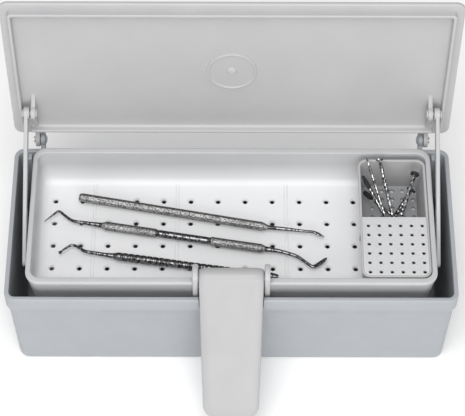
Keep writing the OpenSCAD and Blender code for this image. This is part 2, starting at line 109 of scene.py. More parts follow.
def joined(name, objs):
    """Several objects as one mesh object."""
    bm = bmesh.new()
    material = objs[0].data.materials[0]
    for o in objs:
        bm.from_mesh(o.data)
    mesh = bpy.data.meshes.new(name)
    bm.to_mesh(mesh)
    bm.free()
    mesh.materials.append(material)
    for o in objs:
        bpy.data.objects.remove(o)
    obj = bpy.data.objects.new(name, mesh)
    bpy.context.scene.collection.objects.link(obj)
    mesh.set_sharp_from_angle(angle=math.radians(SHARP))
    return obj


def moved(obj, matrix):
    obj.data.transform(matrix)
    obj.data.update()
    return obj


def ring_rounded(hx, hy, r, z, cx=0.0, cy=0.0, per_corner=10):
    """Points of a rounded rectangle, anticlockwise; r is one radius or one for each corner."""
    radii = r if isinstance(r, tuple) else (r, r, r, r)
    points = []
    for quarter in range(4):
        r = max(radii[quarter], 0.05)
        sx = (1, -1, -1, 1)[quarter]
        sy = (1, 1, -1, -1)[quarter]
        for i in range(per_corner + 1):
            a = math.radians(90 * quarter + 90 * i / per_corner)
            x = cx + sx * (hx - r) + r * math.cos(a)
            y = cy + sy * (hy - r) + r * math.sin(a)
            points.append((x * MM, y * MM, z * MM))
    return points


def loft(name, rings, material, closed=False, sharp=SHARP):
    """Skins rings of equal length, capped at both ends; closed joins the last ring to the first."""
    n = len(rings[0])
    verts = [p for ring in rings for p in ring]
    faces = []
    spans = len(rings) if closed else len(rings) - 1
    for i in range(spans):
        j = (i + 1) % len(rings)
        for k in range(n):
            m = (k + 1) % n
            faces.append((i * n + k, i * n + m, j * n + m, j * n + k))
    if not closed:
        faces.append(tuple(reversed(range(n))))
        faces.append(tuple(range((len(rings) - 1) * n, len(rings) * n)))
    return add_object(name, verts, faces, material, sharp)


def arc(cx, cy, r, a0, a1, steps):
    """Points on an arc, angles in degrees."""
    out = []
    for i in range(steps + 1):
        a = math.radians(a0 + (a1 - a0) * i / steps)
        out.append((cx + r * math.cos(a), cy + r * math.sin(a)))
    return out


def prism(name, outline, x0, x1, material, bevel=0.4):
    """A (y, z) outline drawn from x0 to x1, with rounded edges."""
    n = len(outline)
    verts = [(x * MM, y * MM, z * MM) for x in (x0, x1) for y, z in outline]
    faces = [tuple(reversed(range(n))), tuple(range(n, 2 * n))]
    faces += [(k, (k + 1) % n, n + (k + 1) % n, n + k) for k in range(n)]
    obj = add_object(name, verts, faces, material)
    if bevel:
        with_modifier(obj, "BEVEL", width=bevel * MM, segments=3, limit_method="ANGLE",
                      angle_limit=math.radians(38))
    return obj


def revolve(name, profile, material, n=40, sharp=SHARP, wave=None):
    """Turns (radius, height) points about +Z; wave(height, angle) scales the radius."""
    rings = []
    for r, h in profile:
        ring = []
        for k in range(n):
            a = 2 * math.pi * k / n
            q = r * (wave(h, a) if wave else 1.0)
            ring.append((q * math.cos(a) * MM, q * math.sin(a) * MM, h * MM))
        rings.append(ring)
    return loft(name, rings, material, sharp=sharp)


def across(obj, x, y, z, way=1):
    """Lays a turned piece along X from a point in millimetres; way -1 points it to low x."""
    turn = Matrix.Rotation(math.radians(90 * way), 4, "Y")
    return moved(obj, Matrix.Translation((x * MM, y * MM, z * MM)) @ turn)


def frame_along(p, q):
    """Matrix that takes +Z at the origin to the line from p to q (metres)."""
    d = (Vector(q) - Vector(p)).normalized()
    return Matrix.Translation(Vector(p)) @ d.to_track_quat("Z", "Y").to_matrix().to_4x4()


def axis_ends(node):
    """The low-x and high-x ends of a long CAD node's axis, in metres."""
    co = np.array([v.co for v in frame["nodes"][node].data.vertices], float)
    mid = (co.min(0) + co.max(0)) / 2
    centred = co - co.mean(0)
    direction = np.linalg.svd(centred, full_matrices=False)[2][0]
    if direction[0] < 0:
        direction = -direction
    t = (co - mid) @ direction
    side = (co - mid) - t[:, None] * direction
    near = side[np.argsort(t)]
    count = max(8, len(co) // 20)
    low, high = near[:count].mean(0), near[-count:].mean(0)
    offset = (low + high) / 2
    return mid + t.min() * direction + offset, mid + t.max() * direction + offset


def span_mm(a, b):
    """Distance between two points in metres, in millimetres."""
    return float(np.linalg.norm(b - a)) / MM


def spline(points, steps):
    """Smooth points through the given ones (Catmull-Rom), each (x, y, ...)."""
    p = np.array(points, float)
    p = np.vstack([2 * p[0] - p[1], p, 2 * p[-1] - p[-2]])
    out = []
    for i in range(1, len(p) - 2):
        for k in range(steps):
            t = k / steps
            a = 2 * p[i]
            b = p[i + 1] - p[i - 1]
            c = 2 * p[i - 1] - 5 * p[i] + 4 * p[i + 1] - p[i + 2]
            d = -p[i - 1] + 3 * p[i] - 3 * p[i + 1] + p[i + 2]
            out.append(0.5 * (a + b * t + c * t * t + d * t ** 3))
    out.append(p[-2])
    return np.array(out)


def tube(name, centres, widths, heights, material, n=20):
    """A bar through centres (metres) with an elliptic section, in the plane z = const."""
    c = np.array(centres, float)
    rings = []
    for i in range(len(c)):
        t = c[min(i + 1, len(c) - 1)] - c[max(i - 1, 0)]
        t /= np.linalg.norm(t)
        u = np.cross(t, (0, 0, 1.0))
        u /= np.linalg.norm(u)
        v = np.cross(u, t)
        ring = []
        for k in range(n):
            a = 2 * math.pi * k / n
            ring.append(tuple(c[i] + (widths[i] * math.cos(a) * u + heights[i] * math.sin(a) * v) * MM))
        rings.append(ring)
    return loft(name, rings, material)


# ---- materials -------------------------------------------------------------

class Nodes:
    """Short hand for building a node material."""

    def __init__(self, name):
        self.material = bpy.data.materials.new(name)
        self.material.use_nodes = True
        self.tree = self.material.node_tree
        self.shader = self.tree.nodes["Principled BSDF"]
        self.coords = self.add("ShaderNodeTexCoord").outputs["Object"]

    def add(self, kind, **values):
        node = self.tree.nodes.new(kind)
        for key, value in values.items():
            if hasattr(node, key):
                setattr(node, key, value)
            else:
                node.inputs[key.replace("_", " ")].default_value = value
        return node

    def link(self, a, b):
        self.tree.links.new(a, b)

    def noise(self, scale, detail=3.0, roughness=0.55, stretch=None):
        node = self.add("ShaderNodeTexNoise")
        node.inputs["Scale"].default_value = scale
        node.inputs["Detail"].default_value = detail
        node.inputs["Roughness"].default_value = roughness
        source = self.coords
        if stretch:
            mapping = self.add("ShaderNodeMapping")
            mapping.inputs["Scale"].default_value = stretch
            self.link(source, mapping.inputs["Vector"])
            source = mapping.outputs["Vector"]
        self.link(source, node.inputs["Vector"])
        return node.outputs["Fac"]

    def remap(self, value, low, high, start=0.3, end=0.7):
        node = self.add("ShaderNodeMapRange")
        node.inputs["From Min"].default_value = start
        node.inputs["From Max"].default_value = end
        node.inputs["To Min"].default_value = low
        node.inputs["To Max"].default_value = high
        self.link(value, node.inputs["Value"])
        return node.outputs["Result"]

    def mix(self, factor, a, b):
        node = self.add("ShaderNodeMix", data_type="RGBA")
        self.link(factor, node.inputs["Factor"])
        for value, socket in ((a, node.inputs["A"]), (b, node.inputs["B"])):
            if isinstance(value, tuple):
                socket.default_value = (*value, 1)
            else:
                self.link(value, socket)
        return node.outputs["Result"]

    def bump(self, height, strength, distance, before=None):
        node = self.add("ShaderNodeBump")
        node.inputs["Strength"].default_value = strength
        node.inputs["Distance"].default_value = distance
        self.link(height, node.inputs["Height"])
        if before:
            self.link(before, node.inputs["Normal"])
        return node.outputs["Normal"]

    def edges(self, low=0.505, high=0.56):
        """1 on convex edges (high pointiness), 0 elsewhere."""
        geometry = self.add("ShaderNodeNewGeometry")
        return self.remap(geometry.outputs["Pointiness"], 0, 1, low, high)

    def set(self, **values):
        for key, value in values.items():
            self.shader.inputs[key.replace("_", " ")].default_value = value

    def drive(self, socket, value):
        self.link(value, self.shader.inputs[socket])


def scaled(color, k):
    return tuple(min(1.0, c * k) for c in color)


def plastic(name, color, grain=0.12, speckle=0.0, rough=0.44, deep=None):
    """Satin moulded plastic: faint cloudiness and fine grain, speckled if asked.

    deep is painted in towards the piece's floor, as painted light when paler and painted shade when darker; a
    piece without one is paler on its convex edges.
    """
    m = Nodes(name)
    cloud = m.remap(m.noise(38, 4), 0, 1)
    base = m.mix(cloud, scaled(color, 0.965), scaled(color, 1.02))
    if speckle:
        dots = m.remap(m.noise(1500, 1, 0.4), 0, speckle, 0.55, 0.66)
        base = m.mix(dots, base, scaled(color, 0.55))
    # painted floor tone mixed in below mid height: painted light when paler than the piece, painted shade
    # when darker
    if deep:
        split = m.add("ShaderNodeSeparateXYZ")
        m.link(m.add("ShaderNodeTexCoord").outputs["Generated"], split.inputs[0])
        base = m.mix(m.remap(split.outputs["Z"], 1, 0, 0.12, 0.50), base, deep)
    else:
        base = m.mix(m.edges(), base, scaled(color, 1.07))
    m.drive("Base Color", base)
    m.drive("Roughness", m.remap(m.noise(120, 3), rough - 0.05, rough + 0.07))
    fine = m.bump(m.noise(2600, 2, 0.5), grain, 0.00012)
    m.drive("Normal", m.bump(m.noise(60, 2), 0.10, 0.0004, fine))
    m.set(IOR=1.49, Specular_IOR_Level=0.42)
    return m.material


def steel(name, color=(0.40, 0.40, 0.41), rough=0.30, stretch=(60, 900, 900), dark_reflection=0.0, reflection_streaks=0.0,
          stipple=0.0):
    """Stainless steel with dull patches.

    dark_reflection paints a dark reflection on the rear upper side and on the underside, reflection_streaks
    paints dark reflection streaks along a piece, and stipple sets a rough grain of pits, with painted shade
    in the pits, in place of the brushing.
    """
    m = Nodes(name)
    smear = m.remap(m.noise(150, 4), 0, 1)
    base = m.mix(smear, scaled(color, 0.80), scaled(color, 1.10))
    base = m.mix(m.edges(0.51, 0.6), base, scaled(color, 1.5))
    # painted reflection: dark streaks along a piece stand in for dark surroundings mirrored in the polished
    # steel
    if reflection_streaks:
        streak_reflection = m.remap(m.noise(1.0, 2, 0.5, (900, 420, 420)), 0, reflection_streaks, 0.44, 0.56)
        base = m.mix(streak_reflection, base, scaled(color, 0.10))
    # painted reflection: faces turned up and back, and faces turned down, are darkened by their facing,
    # standing in for dark surroundings mirrored in the steel
    if dark_reflection:
        side = m.add("ShaderNodeVectorMath", operation="DOT_PRODUCT")
        m.link(m.add("ShaderNodeTexCoord").outputs["Normal"], side.inputs[0])
        side.inputs[1].default_value = DARK_REFLECTION_SIDE
        upper_reflection = m.remap(side.outputs["Value"], 0, dark_reflection, 0.15, 0.85)
        base = m.mix(upper_reflection, base, scaled(color, 0.12))
        under = m.remap(side.outputs["Value"], dark_reflection, 0, -0.98, -0.6)
        base = m.mix(under, base, scaled(color, 0.25))
    relief = m.noise(1.0, 3, 0.6, stretch)
    depth = 0.00006
    # rough grain of pits from the bump, with painted shade darkening the pits
    if stipple:
        relief = m.noise(1150, 1, 0.4)
        depth = 0.0009
        base = m.mix(m.remap(relief, stipple, 0, 0.40, 0.56), base, scaled(color, 0.14))
    m.drive("Base Color", base)
    m.drive("Roughness", m.remap(m.noise(300, 3), rough - 0.06, rough + 0.10))
    m.drive("Normal", m.bump(relief, 0.6 if stipple else 0.12, depth))
    m.set(Metallic=1.0)
    return m.material


def abrasive(name, color=(0.014, 0.014, 0.015)):
    """Dark rubber-bonded abrasive: coarse grain with light grit."""
    m = Nodes(name)
    grit = m.remap(m.noise(4200, 2, 0.6), 0, 1, 0.56, 0.7)
    base = m.mix(grit, color, (0.07, 0.07, 0.075))
    m.drive("Base Color", m.mix(m.edges(0.52, 0.6), base, (0.05, 0.05, 0.055)))
    m.drive("Roughness", m.remap(m.noise(500, 2), 0.55, 0.8))
    m.drive("Normal", m.bump(m.noise(3600, 3, 0.6), 0.5, 0.0002))
    m.set(Specular_IOR_Level=0.25)
    return m.material


def floor_material():
    m = Nodes("floor_white")
    m.drive("Base Color", m.mix(m.remap(m.noise(3, 3), 0, 1), (0.92, 0.92, 0.92), (0.94, 0.94, 0.94)))
    m.set(Roughness=0.9, Specular_IOR_Level=0.1)
    return m.material


# facing whose faces get the painted dark reflection on steel
DARK_REFLECTION_SIDE = (0.0, 0.845, 0.535)
BOX_GREY = (0.335, 0.352, 0.372)
LID_GREY = (0.425, 0.425, 0.43)
TRAY_GREY = (0.46, 0.463, 0.47)
# painted light lifting the tray's floor
TRAY_FLOOR_PAINTED_LIGHT = (0.74, 0.743, 0.75)
# painted shade darkening the basket's floor
BASKET_FLOOR_PAINTED_SHADE = (0.34, 0.343, 0.35)
LEVER_GREY = (0.385, 0.385, 0.39)
PLATE_GREY = (0.53, 0.533, 0.54)
MAT_BOX = plastic("box_plastic", BOX_GREY)
MAT_LID = plastic("lid_plastic", LID_GREY)
MAT_TRAY = plastic("tray_plastic", TRAY_GREY, deep=TRAY_FLOOR_PAINTED_LIGHT)
MAT_BASKET = plastic("basket_plastic", LID_GREY, deep=BASKET_FLOOR_PAINTED_SHADE)
MAT_LEVER = plastic("lever_plastic", LEVER_GREY, rough=0.38)
MAT_PLATE = plastic("plate_plastic", PLATE_GREY, grain=0.5, speckle=0.55)
MAT_STEEL = steel("pin_steel")
# the tip, grip, ringed and bur steels carry painted dark reflections; the grip also has painted shade in its
# pits
MAT_TIP = steel("tip_steel", (0.24, 0.24, 0.25), 0.24, (300, 300, 300), 0.95, 0.9)
MAT_GRIP = steel("grip_steel", (0.47, 0.47, 0.465), 0.48, dark_reflection=0.8, stipple=0.75)
MAT_RINGED = steel("ringed_steel", (0.20, 0.20, 0.205), 0.30, (300, 300, 300), 0.96, 0.9)
MAT_SHANK = steel("bur_steel", (0.55, 0.55, 0.55), 0.26, (400, 400, 400), 0.5, 0.95)
MAT_BLACK = abrasive("black_abrasive")


# ---- placing ---------------------------------------------------------------

def place(obj, body, slot, *nodes):
    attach(obj, body)
    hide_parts(*nodes)
    return obj


def box_mm(node):
    """Lowest and highest corner of a CAD node in millimetres."""
    lo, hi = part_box(node)
    return np.array(lo) / MM, np.array(hi) / MM


def inner_end(lo, hi, side):
    """The x of a side piece's end that is nearer the middle of the object."""
    return lo[0] if side > 0 else hi[0]


# ---- box -------------------------------------------------------------------

box_lo, box_hi = box_mm("base_box")
HINGE_Y = JOINTS["lid_hinge"]["pos_m"][1] / MM
RIM_Z = JOINTS["lid_hinge"]["pos_m"][2] / MM
HALF_X = box_hi[0]
HALF_Y = -box_lo[1]
RIM_WALL_X = 2.6
RIM_WALL_Y = 2.8
COLLAR = 11.5
COLLAR_STEP = 1.2
DRAFT = 1.2
BASE_EDGE = 2.0
FLOOR = 2.5
HINGE_R = 4.3
KNUCKLE = (110.5, 113.1)
FIN = (113.5, 116.2)
RAIL_X = 119.15
RAIL_FRONT = 45.5

LEVER_Y = JOINTS["lever_swing"]["pos_m"][1] / MM
LEVER_Z = JOINTS["lever_swing"]["pos_m"][2] / MM
LEVER_HALF = 18.3
DIP_HALF = LEVER_HALF
DIP_DEPTH = 8.5


def box_rings():
    """Outer wall from the base up, over the rim and down inside to the floor."""
    wall = COLLAR_STEP
    low = COLLAR_STEP + DRAFT
    z_step = RIM_Z - COLLAR
    path = []
    for x, z in arc(BASE_EDGE, BASE_EDGE, BASE_EDGE, 270, 180, 5):
        path.append((low + x, low + x, 6, z))
    for t in (0.15, 0.5, 0.9):
        z = BASE_EDGE + (z_step - BASE_EDGE - 0.6) * t
        path.append((low - DRAFT * t, low - DRAFT * t, 6, z))
    path.append((wall, wall, 6, z_step - 0.5))
    path.append((wall - 0.12, wall - 0.12, 6, z_step - 0.15))
    path.append((wall - 0.5, wall - 0.5, 6, z_step))
    for x, z in arc(0.5, z_step + 0.5, 0.5, 250, 180, 3):
        path.append((x, x, 6, z))
    path.append((0, 0, 6, z_step + 4))
    for x, z in arc(0.9, RIM_Z - 0.9, 0.9, 180, 90, 5):
        path.append((x, x, 6 - x, z))
    for x, z in arc(0.6, RIM_Z - 0.6, 0.6, 90, 0, 4):
        dx = RIM_WALL_X - 1.2 + x
        dy = RIM_WALL_Y - 1.2 + x
        path.append((dx, dy, 3.6, z))
    for t in (0.1, 0.5, 0.9):
        z = RIM_Z - (RIM_Z - FLOOR - 3) * t
        path.append((RIM_WALL_X + 2 * t, RIM_WALL_Y + 2 * t, 3.5, z))
    for x, z in arc(-2, FLOOR + 2, 2, 0, -90, 5):
        path.append((RIM_WALL_X + 2 - x, RIM_WALL_Y + 2 - x, 3.5, z))
    return [ring_rounded(HALF_X - dx, HALF_Y - dy, r, z) for dx, dy, r, z in path]


def dip_cutter():
    """Rounded dip in the front rim, with its upper corners eased."""
    outline = [(-DIP_HALF - 1.2, 3), (-DIP_HALF - 1.2, 0.05)]
    outline += arc(-DIP_HALF - 0.5, -0.5, 0.5, 90, 0, 4)
    outline += arc(-DIP_HALF + 2, -DIP_DEPTH + 2, 2, 180, 270, 6)
    outline += arc(DIP_HALF - 2, -DIP_DEPTH + 2, 2, 270, 360, 6)
    outline += arc(DIP_HALF + 0.5, -0.5, 0.5, 180, 90, 4)
    outline += [(DIP_HALF + 1.2, 0.05), (DIP_HALF + 1.2, 3)]
    n = len(outline)
    verts = [(x * MM, y * MM, (RIM_Z + z) * MM) for y in (-HALF_Y - 3, -HALF_Y + 6) for x, z in outline]
    faces = [tuple(range(n)), tuple(reversed(range(n, 2 * n)))]
    faces += [(k, n + k, n + (k + 1) % n, (k + 1) % n) for k in range(n)]
    return add_object("dip_cutter", verts, faces, MAT_BOX)


def knuckle_outline():
    wall = HALF_Y - 2
    return [(wall, RIM_Z - 8.5), (wall, RIM_Z - 0.8), (HINGE_Y - HINGE_R + 0.2, RIM_Z - 0.8)] + \
        [(HINGE_Y + y, RIM_Z + z) for y, z in arc(0, 0, HINGE_R, 170, -75, 22)]


def guide_rail(side):
    """Round-topped post on the rear wall, slimmer below its head."""
    out = []
    for half, top, low in ((1.1, RIM_Z - 2.0, RIM_Z - 17.0), (0.6, RIM_Z - 16.0, FLOOR - 0.5)):
        x0, x1 = sorted((side * (RAIL_X - half), side * (RAIL_X + half)))
        rail = [(RAIL_FRONT, low)] + arc(RAIL_FRONT + 1.1, top - 1.1, 1.1, 180, 90, 5)
        rail += [(HALF_Y - 2.3, top), (HALF_Y - 2.3, low)]
        out.append(prism("rail", rail, x0, x1, MAT_BOX, 0.5))
    return out


def make_box():
    shell = loft("box_shell", box_rings(), MAT_BOX)
    cut(shell, dip_cutter())
    parts = [shell]
    for side in SIDES:
        x0, x1 = sorted((side * KNUCKLE[0], side * KNUCKLE[1]))
        parts.append(prism("knuckle", knuckle_outline(), x0, x1, MAT_BOX, 0.5))
        parts += guide_rail(side)
        inner = side * (KNUCKLE[0] - 0.1)
        dome = revolve("dome", [(2.6, 0), (2.5, 0.3), (1.9, 0.7), (0.8, 0.95), (CORE, 1.0)], MAT_BOX)
        across(dome, inner, HINGE_Y, RIM_Z, -side)
        parts.append(dome)
    obj = joined("box_moulding", parts)
    place(obj, "box", "box_plastic", "base_box")


def make_hinge_pins():
    for side, word in SIDE_WORDS:
        node = f"lid_hinge_pin_{word}"
        lo, hi = box_mm(node)
        length = hi[0] - lo[0]
        r = 1.2
        profile = [(CORE, 0), (r - 0.2, 0), (r, 0.2), (r, length - 0.8), (1.95, length - 0.75),
                   (1.95, length - 0.3), (1.6, length - 0.05), (CORE, length)]
        pin = revolve(f"hinge_pin_{word}", profile, MAT_STEEL)
        across(pin, inner_end(lo, hi, side), HINGE_Y, RIM_Z, side)
        place(pin, "box", "steel", node)


# ---- lid -------------------------------------------------------------------

LID_OPEN = -JOINTS["lid_hinge"]["range_deg"][0]
LID_REAR = 5.5
LID_FRONT = 112.0
LID_THICK = 2.8
RIB = 4.0
RIB_IN = 4.7
RING_S = 59.0
EAR_S = 30.0
EAR_D = 6.3
LID_PLACE = Matrix.Translation((0, HINGE_Y * MM, RIM_Z * MM)) @ Matrix.Rotation(
    math.radians(-LID_OPEN), 4, "X")


def lid_rings():
    """From the outer face round the edge, over the flange and rib to the inner panel."""
    path = [(6, LID_THICK), (2, LID_THICK - 0.02)]
    path += arc(1.2, LID_THICK - 1.2, 1.2, 90, 180, 6)
    path += arc(1.1, 1.1, 1.1, 180, 270, 5)
    path += [(RIB_IN - 0.5, 0), (RIB_IN - 0.12, -0.12), (RIB_IN, -0.5)]
    path += [(RIB_IN + 0.05, -RIB + 0.7)]
    path += arc(RIB_IN + 0.65, -RIB + 0.6, 0.6, 180, 270, 4)
    path += arc(RIB_IN + 1.3, -RIB + 0.6, 0.6, 270, 360, 4)
    path += arc(RIB_IN + 3.5, -1.6, 1.6, 180, 90, 6)
    path += [(14, 0.0)]
    half = (LID_FRONT - LID_REAR) / 2
    mid = -(LID_FRONT + LID_REAR) / 2
    return [ring_rounded(HALF_X - x, half - x, max(5 - x * 0.6, 1.6), z, 0, mid) for x, z in path]


def fin_outline():
    """Fin from the hinge knuckle over the rear edge to the link ear, closed pose."""
    shape = arc(0, 0, HINGE_R, 232, 448, 22)
    shape += [(-10, LID_THICK), (-13, LID_THICK)]
    shape += [(-EAR_S - 9.5, LID_THICK - 1), (-EAR_S - 9.5, 0)]
    shape += [(-EAR_S - 7.5, -0.3), (-EAR_S - 6.0, -1.4)]
    shape += [(-EAR_S + y, -EAR_D + z) for y, z in arc(0, 0, 4, 168, 306, 14)]
    shape += [(-22, -4.9), (-17, -2.6), (-13, -1.2), (-10.6, -0.4), (-10.0, 0.4), (-5.9, 0.4)]
    return shape


def rail_relief(side):
    x0, x1 = sorted((side * (RAIL_X - 1.6), side * (RAIL_X + 1.6)))
    y0 = RAIL_FRONT - HINGE_Y - 0.5
    return prism("relief", [(y0, -6), (y0, -0.02), (y0 + 5.2, -0.02), (y0 + 5.2, -6)], x0, x1, MAT_LID, 0)


def make_lid():
    panel = loft("lid_panel", lid_rings(), MAT_LID)
    for side in SIDES:
        cut(panel, rail_relief(side))
    parts = [panel]
    for side in SIDES:
        x0, x1 = sorted((side * FIN[0], side * FIN[1]))
        fin = prism("fin", fin_outline(), x0, x1, MAT_LID, 0.45)
        cut(fin, rail_relief(side))
        parts.append(fin)
    r = 14.25
    ring = [(r - 1.5, 0.3), (r - 1.35, -0.35), (r - 1.0, -0.72), (r - 0.6, -0.8),
            (r - 0.2, -0.65), (r, -0.3), (r + 0.1, 0.3)]
    rings = []
    for q, z in ring:
        rings.append([(q * math.cos(a) * MM, q * math.sin(a) * MM, z * MM)
                      for a in np.linspace(0, 2 * math.pi, 96, endpoint=False)])
    raised = loft("raised_ring", rings, MAT_LID, closed=True)
    nub = revolve("nub", [(3.0, 0.4), (2.8, -0.2), (2.3, -0.75), (1.2, -1.0), (CORE, -1.05)], MAT_LID, 48)
    for o in (raised, nub):
        moved(o, Matrix.Translation((0, -RING_S * MM, 0)))
        parts.append(o)
    obj = joined("lid_moulding", parts)
    moved(obj, LID_PLACE)
    place(obj, "lid_body", "box_plastic", "lid")


def make_link_pins():
    for side, word in SIDE_WORDS:
        node = f"link_pin_{word}"
        lo, hi = box_mm(node)
        length = hi[0] - lo[0]
        head = 2.4
        profile = [(CORE, 0), (head - 0.7, 0), (head - 0.2, 0.15), (head, 0.45), (head, 1.0), (PIN_R, 1.0),
                   (PIN_R, length - 0.9), (head, length - 0.9), (head, length - 0.5),
                   (head - 0.3, length - 0.15), (head - 1.0, length), (CORE, length)]
        pin = revolve(f"rivet_{word}", profile, MAT_LID, 48)
        centre = (lo + hi) / 2
        across(pin, inner_end(lo, hi, side), centre[1], centre[2], side)
        place(pin, "lid_body", "box_plastic", node)


# ---- links -----------------------------------------------------------------

LINK = (117.8, 120.1)
LINK_EYE = (117.0, 120.4)
LINK_EYE_R = 3.6
LINK_HALF = 3.0
LINK_SLOT = (56.5, 85.8)
LINK_SLOT_HALF = 1.95
LINK_DIP = 28.2


def stadium(y0, y1, r, steps):
    """Outline of a slot along y, with round ends."""
    return arc(y0, 0, r, 270, 450, steps) + arc(y1, 0, r, 90, 270, steps)


def make_links():
    for side, word in SIDE_WORDS:
        x0, x1 = sorted((side * LINK[0], side * LINK[1]))
        bar = prism("bar", stadium(0, -LINK_SLOT[1], LINK_HALF, 16), x0, x1, MAT_LID, 0)
        slot = prism("slot", stadium(-LINK_SLOT[0], -LINK_SLOT[1], LINK_SLOT_HALF, 12),
                     x0 - 1, x1 + 1, MAT_LID, 0)
        cut(bar, slot)
        with_modifier(bar, "BEVEL", width=0.45 * MM, segments=3, limit_method="ANGLE",
                      angle_limit=math.radians(40))
        e0, e1 = sorted((side * LINK_EYE[0], side * LINK_EYE[1]))
        r = LINK_EYE_R
        length = e1 - e0
        eye = revolve("eye", [(BORE_R, 0), (r - 0.4, 0), (r, 0.4), (r, length - 0.4),
                              (r - 0.4, length), (BORE_R, length)], MAT_LID, 48)
        across(eye, e0, 0, 0)
        obj = joined(f"link_arm_{word}", [bar, eye])
        pivot = Vector(JOINTS[f"link_{word}_swing"]["pos_m"])
        pivot.x = 0
        turn = Matrix.Rotation(math.radians(LINK_DIP), 4, "X")
        moved(obj, Matrix.Translation(pivot) @ turn)
        place(obj, f"link_{word[0]}", "box_plastic", f"link_{word}")


# ---- tray ------------------------------------------------------------------

tray_lo, tray_hi = box_mm("instrument_tray")
TRAY_HX = tray_hi[0]
TRAY_Y = 0.5
TRAY_HY = tray_hi[1] - TRAY_Y
TRAY_TOP = RIM_Z + 8.7
TRAY_FLOOR = RIM_Z - 16.6
TRAY_THICK = 2.2
TRAY_RIM_X = 2.9
TRAY_RIM_Y = 3.9
TRAY_OUT = (0.7, 0.6)
TRAY_FLANGE = 2.2
TRAY_DRAFT = (1.5, 3.0)
BOSS_X = 113.1
FLOOR_RIB = (0.85, 0.35, 0.45)  # half pitch of a pair, half width, height
DRAIN_R = 1.35
DRAIN_GRID = (14, 4)
DRAIN_PITCH = (16.0, 15.4)
DRAIN_Y = 25.7
DRAIN_FLARE = 0.65
DRAIN_SINK = 1.0
RIBS_X = (-80.8, -32, 32)
LUG = (18.7, 21.8)
LUG_R = 7.5
LUG_FRONT = -47.6
HUB_R = 5.5


def tray_rings():
    """Outer wall from below, flange, rim, inner wall and floor."""
    path = []
    low_x = TRAY_OUT[0] + TRAY_DRAFT[0]
    low_y = TRAY_OUT[1] + TRAY_DRAFT[1]
    bottom = TRAY_FLOOR - TRAY_THICK
    under = TRAY_TOP - TRAY_FLANGE
    for x, z in arc(4, bottom + 4, 4, 270, 180, 6):
        path.append((low_x + x, low_y + x, 6.5, z))
    for t in (0.1, 0.5, 0.97):
        z = bottom + 4 + (under - bottom - 4) * t
        path.append((low_x - TRAY_DRAFT[0] * t, low_y - TRAY_DRAFT[1] * t, 6.5, z))
    path.append((TRAY_OUT[0] - 0.1, TRAY_OUT[1] - 0.1, 6.9, under))
    path.append((0.3, 0.3, 7.9, under))
    path.append((0, 0, 8, under + 0.3))
    for x, z in arc(1.0, TRAY_TOP - 1.0, 1.0, 180, 90, 6):
        path.append((x, x, 8 - x * 0.5, z))
    for x, z in arc(0.7, TRAY_TOP - 0.7, 0.7, 90, 0, 5):
        path.append((TRAY_RIM_X - 1.4 + x, TRAY_RIM_Y - 1.4 + x, 5.2, z))
    for t in (0.1, 0.5, 0.97):
        z = TRAY_TOP - 1 - (TRAY_TOP - 5 - TRAY_FLOOR) * t
        path.append((TRAY_RIM_X + TRAY_DRAFT[0] * t, TRAY_RIM_Y + TRAY_DRAFT[1] * t, 5, z))
    for x, z in arc(-4, TRAY_FLOOR + 4, 4, 0, -90, 7):
        path.append((TRAY_RIM_X + TRAY_DRAFT[0] - x, TRAY_RIM_Y + TRAY_DRAFT[1] - x, 5, z))
    return [ring_rounded(TRAY_HX - dx, TRAY_HY - dy, r, z, 0, TRAY_Y) for dx, dy, r, z in path]


def hole_cutter(places, r, z0, z1, flare, sink, n=24):
    """One mesh of countersunk cutters; flare widens each at the top over the depth sink."""
    verts, faces = [], []
    for x, y in places:
        start = len(verts)
        levels = [(r + 0.3, z0 - 1), (r + 0.3, z0 - 0.05), (r, z0 + 0.3), (r, z1 - sink),
                  (r + flare * 0.55, z1 - sink * 0.6), (r + flare * 0.85, z1 - sink * 0.2),
                  (r + flare * 1.1, z1 + 0.02), (r + flare * 1.1, z1 + 2)]
        for q, z in levels:
            verts += [((x + q * math.cos(a)) * MM, (y + q * math.sin(a)) * MM, z * MM)
                      for a in np.linspace(0, 2 * math.pi, n, endpoint=False)]
        for i in range(len(levels) - 1):
            for k in range(n):
                a = start + i * n + k
                b = start + i * n + (k + 1) % n
                faces.append((a, b, b + n, a + n))
        faces.append(tuple(reversed(range(start, start + n))))
        last = start + (len(levels) - 1) * n
        faces.append(tuple(range(last, last + n)))
    return add_object("hole_cutter", verts, faces, MAT_TRAY)


def lug_outline():
    top = math.degrees(math.acos((LUG_FRONT - LEVER_Y) / LUG_R))
    shape = [(LEVER_Y + y, LEVER_Z + z) for y, z in arc(0, 0, LUG_R, 0, top, 18)]
    shape += [(LUG_FRONT, RIM_Z - 5), (LUG_FRONT + 4, RIM_Z - 9), (LEVER_Y + LUG_R - 1.5, RIM_Z - 9),
              (LEVER_Y + LUG_R - 0.2, LEVER_Z - 3)]
    return shape


